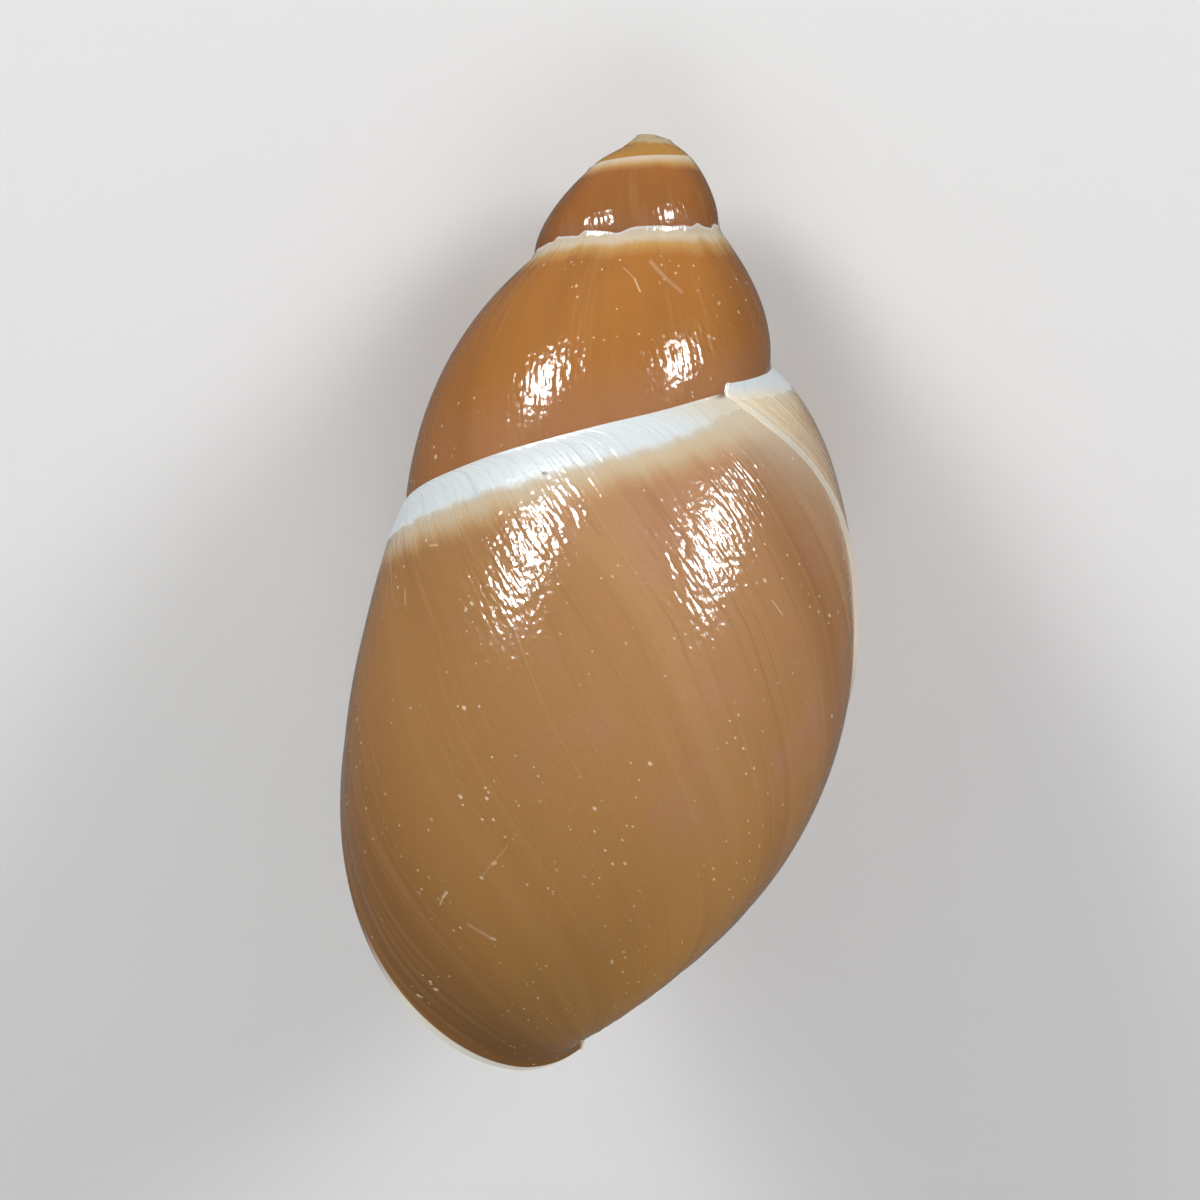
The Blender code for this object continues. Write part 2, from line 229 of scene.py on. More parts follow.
def outline(turn, v):
    """Radius and drop of a whorl's plain outline: one Bezier down to the widest line, one below."""
    turn, v = np.broadcast_arrays(np.asarray(turn, float), np.asarray(v, float))
    top_r, top_d = suture(turn)
    wide_r, wide_d = suture(turn + 1.0)
    stage = turn + 0.5
    leave = SHOULDER_ANGLE + SHOULDER_ANGLE_PER_TURN * stage
    flank = FLANK_ANGLE + FLANK_ANGLE_PER_TURN * stage
    span = np.hypot(wide_r - top_r, wide_d - top_d)
    reach = np.clip(FLANK_REACH + FLANK_REACH_PER_TURN * stage, 0.1, 0.8) * span
    start = SHOULDER_REACH * span
    u = np.clip(v, 0.0, 1.0)
    upper_r = bezier(top_r, top_r + start * np.cos(leave), wide_r - reach * np.sin(flank), wide_r, u)
    upper_d = bezier(top_d, top_d + start * np.sin(leave), wide_d - reach * np.cos(flank), wide_d, u)

    age = np.clip(turn + FOOT_LAG, OLDEST_BASE, 0.3)
    depth = BASE_DEPTH + (BASE_DEPTH_AT_LIP - BASE_DEPTH) * smooth(1.0 + age / 0.35)
    foot_r = pillar(turn)
    foot_d = wide_d + depth * wide_r
    span = np.hypot(wide_r - foot_r, foot_d - wide_d)
    start = (BASE_REACH[0] + BASE_REACH[1] * age) * span
    foot_angle = FOOT_ANGLE[0] + FOOT_ANGLE[1] * age + FOOT_ANGLE[2] * age**2
    foot_reach = np.clip(FOOT_REACH[0] + FOOT_REACH[1] * age + FOOT_REACH[2] * age**2, 0.05, 0.6) * span
    u = np.clip(v - 1.0, 0.0, 1.0)
    lower_r = bezier(
        wide_r,
        wide_r + start * np.sin(flank),
        foot_r + foot_reach * np.cos(foot_angle),
        foot_r,
        u,
    )
    lower_d = bezier(
        wide_d,
        wide_d + start * np.cos(flank),
        foot_d - foot_reach * np.sin(foot_angle),
        foot_d,
        u,
    )
    return np.where(v <= 1.0, upper_r, lower_r), np.where(v <= 1.0, upper_d, lower_d)


def outward(turn, v):
    """Unit normal of the outline in its half plane, pointing out of the shell."""
    step = 0.004
    r0, d0 = outline(turn, np.clip(v - step, 0.0, 2.0))
    r1, d1 = outline(turn, np.clip(v + step, 0.0, 2.0))
    length = np.hypot(r1 - r0, d1 - d0)
    return (d1 - d0) / length, -(r1 - r0) / length


def wander(turn):
    """How far the edge of a whorl has crept up the whorl before, in millimetres: shallow scallops."""
    phase = TAU * (12.3 * turn + 0.35 * np.sin(TAU * 3.1 * turn))
    scallop = 0.55 * np.sin(phase) - 0.3 * np.sin(2.0 * phase) + 0.15 * np.sin(3.0 * phase)
    swell = 0.5 * np.sin(TAU * 5.3 * turn + 1.1) + 0.3 * np.sin(TAU * 11.7 * turn + 0.4)
    ragged = bell(turn, *RAGGED)
    crept = 0.55 * np.exp(np.minimum(turn - OLD_LIP, 0.0) / 0.06) * (turn < OLD_LIP)
    wavy = 0.05 * (swell + 0.8) * smooth((turn + 2.6) / 0.8)
    return (wavy + ragged * (0.17 * scallop + 0.1 * swell + 0.24) + crept) * smooth(-turn / 0.06)


def cut_back(turn):
    """Share of a whorl's outline, measured up from its widest line, that the next whorl covers."""
    step = 0.004
    r0, d0 = outline(turn, 1.0 - step)
    r1, d1 = outline(turn, 1.0)
    covered = wander(turn + 1.0) * step / np.hypot(r1 - r0, d1 - d0)
    return covered * (turn <= -1.0)


def folds(age, v):
    """Low folds of the base, side by side along the growth: sines of different lengths, -1 to 1."""
    waves = (
        0.4 * np.sin(TAU * 17.0 * age + 0.5)
        + 0.35 * np.sin(TAU * 31.0 * age + 1.3 * v)
        + 0.25 * np.sin(TAU * 43.0 * age + 2.1)
    )
    return waves * smooth((v - 1.05) / 0.4) * smooth((1.99 - v) / 0.15)


def bulge(v):
    """How much further the earlier lip had grown between seam and widest line, in turns."""
    return OLD_LIP_BULGE * bell(v, BULGE_V, BULGE_V_SPREAD) * smooth(v / 0.1) * smooth(2.0 - v)


def beside_old_lip(age):
    """1 at the earlier lip, fading to 0 on both sides."""
    return bell(age, OLD_LIP, BULGE_SPREAD)


def lip_age(turn, v):
    """Age in turns of the growth line through a point; solved by repeating, as the lip bulges."""
    lagged = turn + LAG_PER_V * v
    age = lagged
    for _ in range(5):
        age = lagged - bulge(v) * beside_old_lip(age)
    return age


def relief(turn, v, look):
    """How far the surface stands out from the plain outline: seam edge, dome, earlier lip, folds, lip."""
    size = suture(turn)[0] / 14.0
    edge = look.seam_edge * size**0.5 * smooth(v / 0.015) * np.exp(-np.maximum(v - 0.03, 0.0) / 0.10)
    age = lip_age(turn, v)
    since = age - OLD_LIP
    before = (0.45 * smooth((since + 0.05) / 0.05) + 0.55 * smooth((since + 0.005) / 0.004)) * (since < 0.0)
    after = -0.12 * np.exp(-np.maximum(since, 0.0) / 0.012) * (since >= 0.0)
    fade = smooth((OLD_LIP_END + 0.08 - v) / 0.16) * (0.35 + 0.65 * smooth(v / 0.3))
    old_lip = look.old_lip_height * fade * (before + after)
    at_base = smooth((v - 1.42) / 0.22) * smooth((2.0 - v) / 0.4)
    flare = look.lip_flare * np.exp(np.minimum(age, 0.0) / 0.012) * smooth(v / 0.4)
    turned_out = look.lip_turn * at_base * smooth((age + 0.016) / 0.016)
    waist = look.lip_turn * at_base * smooth((age + 0.11) / 0.085)
    domed = look.dome * bell(turn, *DOMED) * np.sin(np.pi * np.clip(v, 0.0, 1.0))
    low = look.fold_height * folds(age, v) * (0.45 + 0.55 * smooth((age + 0.3) / 0.2)) * smooth(-age / 0.02)
    lip = flare * smooth((2.0 - v) / 0.2) + turned_out - waist
    return edge + domed + (turn > -1.0) * (old_lip + lip + low)


def skin(turn, v, look):
    """Outside surface: plain outline, moved to the ragged seam near v = 0, plus the relief."""
    turn, v = np.broadcast_arrays(np.asarray(turn, float), np.asarray(v, float))
    own_v = np.where(v <= 1.0, v * (1.0 - cut_back(turn)), v)
    r, d = outline(turn, own_v)
    out_r, out_d = outward(turn, own_v)
    height = relief(turn, v, look) * (v > 0.0) * (v < 2.0)
    edge_r, edge_d = outline(turn - 1.0, 1.0 - cut_back(turn - 1.0))
    plain_r, plain_d = suture(turn)
    near = bell(v, 0.0, SEAM_SPREAD)
    r = r + height * out_r + (edge_r - plain_r) * near
    d = d + height * out_d + (edge_d - plain_d) * near
    open_end = (v >= 1.0) | (turn < FIRST_STATION + 1.0)
    r = np.where(open_end, r - (edge_r - plain_r) * near, r)
    d = np.where(open_end, d - (edge_d - plain_d) * near, d)
    return r, d


def place(turn, r, d):
    """Point in space: X to the right, Y up the axis, Z out of the back of the shell."""
    angle = TAU * (np.asarray(turn, float) - RIGHT_OUTLINE)
    return np.stack(np.broadcast_arrays(r * np.cos(angle), -d, r * np.sin(angle)), axis=-1)


def spokes():
    """Places round one turn, closer together beside the earlier lip and before the mouth."""
    even = np.arange(SPOKES) / SPOKES
    ledge = 1.0 + OLD_LIP
    beside = np.array([0.0003, 0.0008, 0.0016, 0.0028])
    close = np.concatenate([ledge - beside, ledge + beside, [0.990, 0.994, 0.998]])
    kept = even[np.abs(even[:, None] - close).min(axis=1) > 0.0012]
    return np.sort(np.concatenate([kept, close]))


def wall_lag(v):
    """Lag of the mouth's line on the wall of the whorl before: a root of the way to the pillar."""
    return FOOT_LAG * np.sqrt(np.clip(v - 1.0, 0.0, 1.0))


def leaned(share, v):
    """Turn of a point of the last whorl: upright at its start, along the growth lines soon after."""
    lean = smooth(share / LEAN_BY)
    bulged = bulge(v) * beside_old_lip(share - 1.0) * lean
    return -1.0 + share + bulged - LAG_PER_V * v * lean - wall_lag(v) * (1.0 - lean)


def base_rows():
    """v of the rows below the widest line, those across the lip's thickness first."""
    rim = 1.0 + CORNER_ON_WALL * np.arange(1, RIM_ROWS + 1) / RIM_ROWS
    return np.concatenate([rim, np.linspace(1.0 + CORNER_ON_WALL, 2.0, LOWER_ROWS + 1)[1:]])


def bare_pillar_share():
    """Share of the bare pillar, at the mouth's line, that lies above the base's wall."""
    top = outline(-1.0 - FOOT_LAG, 2.0)[1]
    foot = outline(-FOOT_LAG, 2.0)[1]
    return 1.0 - BASE_WALL / (foot - top)


def below_seam(r, d):
    """Length of each outline from its seam, along axis 1."""
    steps = np.hypot(np.diff(r, axis=1), np.diff(d, axis=1))
    return np.concatenate([np.zeros_like(r[:, :1]), np.cumsum(steps, axis=1)], axis=1)


class Patch:
    """Grid of points with two coordinates for the materials: growth and band."""

    def __init__(self, points, growth=None, band=None, finish=0):
        plain = np.zeros(points.shape[:2] + (2,))
        self.points = points
        self.growth = plain if growth is None else growth
        self.band = plain if band is None else band
        self.finish = finish


def growth_length(age):
    """Length grown along the widest line since the tip, in millimetres, at each age in turns."""
    turns = np.linspace(-6.0, 1.0, 1401)
    length = np.concatenate([[0.0], np.cumsum(TAU * suture(turns[:-1] + 1.0)[0] * np.diff(turns))])
    return np.interp(age, turns, length)


def line_turns(turn, v):
    """Age of the growth line through a point: a lip's own line beside a lip, otherwise a line that
    leaves the seam upright and slants most below the widest line; nearly upright on the spire."""
    age = lip_age(turn, v)
    from_lips = smooth(np.abs(age - OLD_LIP) / 0.08) * smooth(-age / 0.1)
    bent = LINE_BEND * np.sin(TAU * (v / 2.0) ** 1.4) * from_lips
    slant = 0.25 + 0.75 * smooth((turn + 1.15) / 0.3)
    return age - LAG_PER_V * v + LAG_PER_V * (v - bent) * slant


def skin_patch(turns, v, look):
    """Patch of the outside: turns and v are grids of one shape."""
    r, d = skin(turns, v, look)
    age = lip_age(turns, v)
    growth = np.stack([growth_length(line_turns(turns, v)), v], axis=-1)
    band = np.stack([below_seam(r, d), age], axis=-1)
    return Patch(place(turns, r, d), growth, band)


def spire_patches(look):
    """Skin of the whorls above the last, and the worn tip that closes them."""
    whorls = [whorl + spokes() for whorl in (-5.0, -4.0, -3.0, -2.0)]
    turns = np.concatenate(whorls + [[-1.0]])
    turns = turns[turns >= FIRST_STATION]
    grid = np.broadcast_arrays(turns[:, None], UPPER_ROWS[None, :])
    body = skin_patch(*grid, look)
    first_turn = turns[turns <= turns[0] + 1.0 + 1e-9]
    edge = skin_patch(*np.broadcast_arrays(first_turn[:, None], UPPER_ROWS[None, :1]), look)
    patches = [body]
    for border in (edge.points[:, 0], body.points[0]):
        share = np.linspace(0.0, 1.0, TIP_RINGS)[None, :, None]
        tip = np.array([0.0, -TIP_DROP, 0.0])
        points = border[:, None] * share
        points[..., 1] = tip[1] + (border[:, None, 1] - tip[1]) * share[..., 0] ** 2
        oldest = np.full(points.shape[:2], growth_length(turns[0]))
        growth = np.stack([oldest, np.zeros_like(oldest)], axis=-1)
        band = np.stack([0.0 * oldest + 1.0, 0.0 * oldest + turns[0]], axis=-1)
        patches.append(Patch(points, growth, band))
    return patches


def last_whorl_patches(look):
    """Skin of the last whorl down to the pillar, and the pillar below it down to its tip."""
    share = np.append(spokes(), 1.0)[:, None]
    v = np.concatenate([UPPER_ROWS, base_rows()])[None, :]
    turns = leaned(share, v)
    whorl = skin_patch(*np.broadcast_arrays(turns, v), look)
    bare = bare_pillar_share()
    down = np.concatenate(
        [
            np.linspace(0.0, bare, PILLAR_ROWS - RIM_ROWS + 1)[:-1],
            np.linspace(bare, 1.0, RIM_ROWS + 1),
        ]
    )[None, :]
    foot_turn = leaned(share, 2.0)
    foot_d = outline(foot_turn, 2.0)[1]
    tip_d = outline(-FOOT_LAG, 2.0)[1]
    radii = pillar(foot_turn) + (PILLAR_TIP_RADIUS - pillar(foot_turn)) * down
    post = Patch(place(foot_turn, radii, foot_d + (tip_d - foot_d) * down), finish=1)
    end = np.array([0.0, -tip_d, 0.0])
    closing = Patch(np.stack([post.points[:, -1], np.broadcast_to(end, post.points[:, -1].shape)], 1))
    closing.finish = 1
    return whorl, post, closing


def hollow_rings(turn, mouth, look):
    """Loops round the hollow, one for each growth stage: outer wall, pillar and inner wall."""
    rows = np.concatenate([UPPER_ROWS, base_rows()])[None, :]
    lean = smooth(1.0 + turn)
    corner_v = np.clip(CORNER_V + CORNER_V_PER_TURN * turn, 0.15, 1.0)
    corner = CORNER_ON_WALL * corner_v / CORNER_V

    v = (rows + corner_v * (1.0 - rows / 2.0) ** 2.5)[:, 1:-1]
    t = turn - LAG_PER_V * v * lean
    r, d = outline(t, v)
    out_r, out_d = outward(t, v)
    thick = look.wall * (suture(t)[0] / 14.0) ** 0.6 + WALL_AT_LIP * mouth
    outer = place(t, np.maximum(r - thick * out_r, pillar(t) + 0.3), d - thick * out_d)

    foot_turn = turn - FOOT_LAG * lean
    top = outline(foot_turn - 1.0, 2.0)[1]
    foot = outline(foot_turn, 2.0)[1]
    share = np.linspace(bare_pillar_share(), 0.0, PILLAR_ROWS - RIM_ROWS + 1)[None, :]
    radii = pillar(foot_turn - 1.0) + (pillar(foot_turn) - pillar(foot_turn - 1.0)) * share
    post = place(foot_turn, radii, top + (foot - top) * share)

    rows = (base_rows()[RIM_ROWS - 1 : -1] - 1.0 - CORNER_ON_WALL) / (1.0 - CORNER_ON_WALL)
    v = 1.0 + corner + (1.0 - corner) * rows[None, ::-1]
    t = turn - wall_lag(v) * lean
    inner = place(t, *outline(t - 1.0, v))
    return np.concatenate([inner[:, -1:], outer, post, inner], axis=1)


def lip_patch(whorl, post, look):
    """Rounded lip: half an ellipse from the skin's last column to the mouth of the hollow."""
    v = np.concatenate([UPPER_ROWS, base_rows()])[1:-1]
    turn = -LAG_PER_V * v
    edge = whorl.points[-1, 1:-1]
    step = 0.004
    ahead = place(turn - LAG_PER_V * step, *outline(turn - LAG_PER_V * step, np.minimum(v + step, 2.0)))
    behind = place(turn + LAG_PER_V * step, *outline(turn + LAG_PER_V * step, v - step))
    out = place(turn, *outward(turn, v))
    forward = np.cross(ahead - behind, out)
    forward /= np.linalg.norm(forward, axis=1)[:, None]
    inner = hollow_rings(np.array([[0.0]]), 1.0, look)[0, 1 : len(v) + 1]
    share = np.linspace(0.0, 1.0, RIM_ROWS + 1)[:, None, None]
    blend = (1.0 - np.cos(np.pi * share)) / 2.0
    bead = look.lip_bead * (smooth(v / 0.6) * smooth((2.0 - v) / 0.3))[None, :, None]
    middle = edge + (inner - edge) * blend + forward * bead * np.sin(np.pi * share)
    start = whorl.points[0, len(UPPER_ROWS) - 1 : len(UPPER_ROWS) + RIM_ROWS][:, None]
    end = post.points[0, -1 - RIM_ROWS :][::-1][:, None]
    return Patch(np.concatenate([start, middle, end], axis=1), finish=1)


def hollow_patches(whorl, post, lip, look):
    """Wall of the hollow from the mouth inwards, and the fan that closes its deep end."""
    turn = -HOLLOW_TURNS * (np.arange(1, HOLLOW_RINGS + 1) / HOLLOW_RINGS)[:, None] ** 1.25
    rings = hollow_rings(turn, np.exp(turn / 0.03), look)
    foot = len(UPPER_ROWS) + len(base_rows())
    mouth = np.concatenate(
        [
            lip.points[-1],
            post.points[0, : PILLAR_ROWS - RIM_ROWS][::-1],
            whorl.points[0, len(UPPER_ROWS) + RIM_ROWS - 1 : foot - 1][::-1],
        ]
    )
    wall = np.concatenate([mouth[None], rings])
    deep = np.broadcast_to(rings[-1].mean(axis=0), rings[-1].shape)
    return [Patch(wall, finish=1), Patch(np.stack([rings[-1], deep]), finish=1)]


def shell_patches(look):
    """Every grid of the shell in its own frame, in millimetres."""
    whorl, post, closing = last_whorl_patches(look)
    lip = lip_patch(whorl, post, look)
    return spire_patches(look) + [whorl, post, closing, lip] + hollow_patches(whorl, post, lip, look)


def resting_matrix(points):
    """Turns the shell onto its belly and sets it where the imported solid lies, in metres."""
    turn = Matrix.Rotation(np.radians(PITCH), 3, "X")
    turned = points @ np.array(turn).T * MM
    low, high = (np.array(corner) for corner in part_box("shell"))
    middle = (low + high) / 2.0
    shift = middle - (turned.min(axis=0) + turned.max(axis=0)) / 2.0
    shift[2] = high[2] - turned[:, 2].max()
    return Matrix.Translation(shift) @ (turn.to_4x4() @ Matrix.Scale(MM, 4))


def carried(points, matrix):
    """Points moved by a matrix."""
    matrix = np.array(matrix)
    return points @ matrix[:3, :3].T + matrix[:3, 3]


def mesh_of(patches, name):
    """One mesh of quads from the patches: neighbours in each grid share an edge."""
    points, quads, growth, band, finishes = [], [], [], [], []
    count = 0
    for patch in patches:
        rows, columns = patch.points.shape[:2]
        numbers = count + np.arange(rows * columns).reshape(rows, columns)
        corners = [numbers[:-1, :-1], numbers[1:, :-1], numbers[1:, 1:], numbers[:-1, 1:]]
        face = np.stack([c.ravel() for c in corners], axis=1)
        points.append(patch.points.reshape(-1, 3))
        quads.append(face)
        growth.append(patch.growth.reshape(-1, 2))
        band.append(patch.band.reshape(-1, 2))
        finishes.append(np.full(len(face), patch.finish, np.int32))
        count += rows * columns
    points, quads = np.concatenate(points), np.concatenate(quads)
    mesh = bpy.data.meshes.new(name)
    mesh.vertices.add(len(points))
    mesh.vertices.foreach_set("co", points.astype(np.float32).ravel())
    mesh.loops.add(quads.size)
    mesh.loops.foreach_set("vertex_index", quads.astype(np.int32).ravel())
    mesh.polygons.add(len(quads))
    mesh.polygons.foreach_set("loop_start", np.arange(0, quads.size, 4, dtype=np.int32))
    mesh.polygons.foreach_set("material_index", np.concatenate(finishes))
    mesh.update(calc_edges=True)
    for label, values in (("growth", growth), ("band", band)):
        layer = mesh.uv_layers.new(name=label)
        layer.uv.foreach_set("vector", np.concatenate(values)[quads.ravel()].astype(np.float32).ravel())
    return mesh


def weld(mesh):
    """Joins the borders of the patches, turns all faces outwards and keeps creases crisp."""
    bm = bmesh.new()
    bm.from_mesh(mesh)
    bmesh.ops.remove_doubles(bm, verts=bm.verts, dist=1e-7)
    bmesh.ops.recalc_face_normals(bm, faces=bm.faces)
    open_edges = sum(not edge.is_manifold for edge in bm.edges)
    bm.to_mesh(mesh)
    bm.free()
    if open_edges:
        raise RuntimeError(f"the shell has {open_edges} open edges")
    mesh.shade_smooth()
    mesh.set_sharp_from_angle(angle=np.radians(CREASE_ANGLE))


def from_srgb(red, green, blue):
    """Scene-linear colour from values of 0 to 255 as a picture holds them."""
    values = np.array([red, green, blue]) / 255.0
    linear = np.where(values <= 0.04045, values / 12.92, ((values + 0.055) / 1.055) ** 2.4)
    return tuple(float(c) for c in linear) + (1.0,)


class Number:
    """Output of a node; arithmetic on it adds Math nodes."""

    def __init__(self, recipe, socket):
        self.recipe = recipe
        self.socket = socket

    def maths(self, operation, *values):
        """Math node on the values, in order."""
        return self.recipe.node("Math", {"operation": operation}, dict(enumerate(values)))

    def __add__(self, other):
        return self.maths("ADD", self, other)

    def __radd__(self, other):
        return self.maths("ADD", other, self)

    def __sub__(self, other):
        return self.maths("SUBTRACT", self, other)

    def __rsub__(self, other):
        return self.maths("SUBTRACT", other, self)

    def __mul__(self, other):
        return self.maths("MULTIPLY", self, other)

    def __rmul__(self, other):
        return self.maths("MULTIPLY", other, self)

    def __truediv__(self, other):
        return self.maths("DIVIDE", self, other)

    def __rtruediv__(self, other):
        return self.maths("DIVIDE", other, self)

    def most(self, other):
        """The larger of two values."""
        return self.maths("MAXIMUM", self, other)

    def sine(self):
        """Sine of an angle in radians."""
        return self.maths("SINE", self)

    def ramp(self, low, high):
        """0 at low, 1 at high, with level ends; low may be above high."""
        settings = {"interpolation_type": "SMOOTHSTEP"}
        return self.recipe.node("MapRange", settings, {"Value": self, "From Min": low, "From Max": high})


class Recipe:
    """Node tree of a material or of the surroundings, and the surface node that it feeds."""

    def __init__(self, owner, surface="Principled BSDF"):
        owner.use_nodes = True
        self.owner = owner
        self.tree = owner.node_tree
        self.surface = self.tree.nodes[surface]

    def node(self, kind, settings=None, inputs=None, output=0):
        """Adds a node: its type, then its settings, then its sockets' values or links."""
        node = self.tree.nodes.new("ShaderNode" + kind)
        for name, value in (settings or {}).items():
            setattr(node, name, value)
        for name, value in (inputs or {}).items():
            self.feed(node.inputs[name], value)
        return Number(self, node.outputs[output])

    def feed(self, socket, value):
        """Links a Number, or sets a plain value."""
        if isinstance(value, Number):
            self.tree.links.new(value.socket, socket)
        else:
            socket.default_value = value

    def coordinates(self, name):
        """The two values of a coordinate map of the piece."""
        spot = self.node("UVMap", {"uv_map": name})
        return self.parts(spot)[:2]

    def parts(self, vector):
        """The three values of a vector."""
        first = self.node("SeparateXYZ", None, {0: vector})
        return [Number(self, socket) for socket in first.socket.node.outputs]

    def vector(self, x, y, z=0.0):
        """Vector of three values."""
        return self.node("CombineXYZ", None, {0: x, 1: y, 2: z})

    def vectors(self, operation, *values, output=0):
        """Vector Math node on the vectors, in order; a plain number comes out at output 1."""
        return self.node("VectorMath", {"operation": operation}, dict(enumerate(values)), output)

    def millimetres(self):
        """Place on the object, in millimetres."""
        metres = self.node("TexCoord", output=3)
        return self.node("VectorMath", {"operation": "SCALE"}, {0: metres, 3: 1.0 / MM})

    def noise(self, vector, scale=1.0, detail=2.0, roughness=0.5):
        """Value from 0 to 1, about a half on average."""
        inputs = {"Vector": vector, "Scale": scale, "Detail": detail, "Roughness": roughness}
        return self.node("TexNoise", {"noise_dimensions": "3D"}, inputs)

    def dots(self, across, along, scale, radius, share):
        """Round spots on the surface, one in some of the cells: 1 in a spot and 0 between."""
        inputs = {"Vector": self.vector(across, along), "Scale": scale}
        cells = self.node("TexVoronoi", {"voronoi_dimensions": "2D"}, inputs)
        chance = self.parts(Number(self, cells.socket.node.outputs["Color"]))[0]
        size = radius * scale * (0.4 + 0.6 * chance / share)
        return (1.0 - cells / size).ramp(0.0, 0.5) * (share - chance).ramp(0.0, 0.02)

    def mixed(self, first, second, share):
        """Colour between two colours: the first where the share is 0, the second where it is 1."""
        return self.node("Mix", {"data_type": "RGBA"}, {0: share, 6: first, 7: second}, 2)


def around_axis(v, age):
    """Angle round the axis, 0 at the right outline and a quarter turn at the middle of the back."""
    return TAU * (age - LAG_PER_V * v - RIGHT_OUTLINE)


def growth_colours(recipe, look, length, v, age, cloud):
    """Brown of the skin: paler and pinker near the seam, darker at the base, streaked with growth, and
    deeper brown towards the flanks, partly its own colour and partly painted shade.
    """
    fine = recipe.noise(recipe.vector(length * 1.9, v * 1.1, 1.0), 1.0, 2.0, 0.55)
    streak = recipe.noise(recipe.vector(length * 0.6, v * 0.7, 5.0), 1.0, 3.0, 0.6)
    broad = recipe.noise(recipe.vector(length * 0.13, v * 0.45, 3.7), 1.0, 2.0, 0.5)
    down = v + 0.5 * (cloud - 0.5)
    whorl = age + 0.25 * (v - 1.0)
    colour = recipe.mixed(from_srgb(*look.upper_skin), from_srgb(*look.middle_skin), down.ramp(0.3, 0.95))
    colour = recipe.mixed(colour, from_srgb(*look.lower_skin), down.ramp(0.95, 1.6))
    clouded = 0.5 * cloud.ramp(0.5, 0.66) * v.ramp(1.5, 1.1)
    colour = recipe.mixed(colour, from_srgb(*look.blush), clouded)
    colour = recipe.mixed(colour, from_srgb(*look.spire_skin), whorl.ramp(-0.95, -1.05))
    colour = recipe.mixed(colour, from_srgb(*look.older_skin), whorl.ramp(-1.95, -2.1))
    over_seam = v.ramp(0.75, 1.0) * whorl.ramp(-1.0, -1.2)
    colour = recipe.mixed(colour, from_srgb(*look.blush), 0.35 * over_seam)
    colour = recipe.mixed(colour, from_srgb(*look.olive_skin), 0.7 * age.ramp(-0.36, -0.16))
    near_lip = age.ramp(-0.16, -0.03) * v.ramp(0.9, 1.4)
    colour = recipe.mixed(colour, from_srgb(*look.lip_brown_and_notch_shadow), 0.65 * near_lip)

    # Painted shade over the shell's own deeper brown: by the angle round the axis, the flanks seen from the
    # back and the right side of the spire are mixed towards the flank colour, and the older whorls a little
    # all over.
    angle = around_axis(v, age)
    spire = whorl.ramp(-0.9, -1.1)
    older = whorl.ramp(-1.9, -2.1)
    aside = angle.sine().ramp(0.9, 0.05) * (0.25 + 0.3 * spire + 0.45 * older)
    right_flank_shade = (angle + TAU / 4.0).sine().ramp(0.45, 0.95)
    for share in (aside, right_flank_shade * (0.12 + 0.33 * spire), 0.2 * older):
        colour = recipe.mixed(colour, from_srgb(*look.flank_brown_and_shade), share)

    marked = 0.35 + 0.65 * v.ramp(1.3, 0.9) * whorl.ramp(-1.1, -0.9)
    dark_share = 0.4 * broad.ramp(0.52, 0.68) + 0.35 * marked * streak.ramp(0.56, 0.75)
    pale_share = 0.2 * broad.ramp(0.46, 0.3) + 0.25 * marked * streak.ramp(0.42, 0.28)
    fine_dark = 0.3 * marked * fine.ramp(0.58, 0.72)
    fine_pale = 0.3 * marked * fine.ramp(0.4, 0.28) + 0.2 * near_lip * fine.ramp(0.55, 0.7)
    for dark, pale in ((dark_share, pale_share), (fine_dark, fine_pale)):
        colour = recipe.mixed(colour, from_srgb(*look.dark_streak), dark)
        colour = recipe.mixed(colour, from_srgb(*look.pale_streak), pale)
    return colour


def scuff(recipe, spot, start, end, width):
    """1 along a straight mark, 0 a width away from it: start and end are growth length and distance
    below the seam. The point of the mark nearest to the spot lies at the clamped share of its run."""
    back = (start[0] - end[0], start[1] - end[1], 0.0)
    reach = back[0] ** 2 + back[1] ** 2
    since = recipe.vectors("SUBTRACT", spot, (start[0], start[1], 0.0))
    share = recipe.node("Clamp", None, {0: recipe.vectors("DOT_PRODUCT", since, back, output=1) / -reach})
    off = recipe.vectors("MULTIPLY_ADD", back, share, since)
    return recipe.vectors("LENGTH", off, output=1).ramp(width, 0.3 * width)


def scuffs(recipe, spot):
    """Every mark that handling has left in the polish, each with its own strength."""
    total = 0.0
    for start, end, width, strength in SCUFFS:
        total = (scuff(recipe, spot, start, end, width) * strength).most(total)
    return total


def seam_colours(recipe, look, colour, below, age, length):
    """Band under each seam: chalk, then cream, then straw, narrower on the older whorls."""
    wave = recipe.noise(recipe.vector(length * 0.45, 2.0), 1.0, 2.0, 0.5)
    veins = recipe.noise(recipe.vector(length * 1.5, below * 0.06, 7.0), 1.0, 3.0, 0.6)
    reach = below * (1.35 - 0.5 * wave - 0.2 * veins)
    last = age.ramp(-1.25, -0.85)
    young = age.ramp(-2.3, -1.9)
    straw_end = 1.5 + 1.3 * young + 1.3 * last
    cream_end = 0.9 + 0.6 * young + 1.8 * last
    chalk_end = 0.4 - 0.1 * young + 1.4 * last
    straw = (reach / straw_end).ramp(1.0, 0.4)
    cream = (reach / cream_end).ramp(1.1, 0.5)
    chalk = (reach / chalk_end).ramp(1.15 + 0.4 * (1.0 - young), 0.75)
    colour = recipe.mixed(colour, from_srgb(*look.straw_band), 0.65 * straw)
    colour = recipe.mixed(colour, from_srgb(*look.cream_band), (0.5 + 0.42 * young - 0.07 * last) * cream)
    white = recipe.mixed(from_srgb(*look.chalk_band), from_srgb(*look.chalk_vein), veins.ramp(0.5, 0.75))
    white = recipe.mixed(from_srgb(*look.seam_bloom), white, 0.4 + 0.6 * last)
    return recipe.mixed(colour, white, chalk * (0.38 + 0.62 * young)), chalk * last


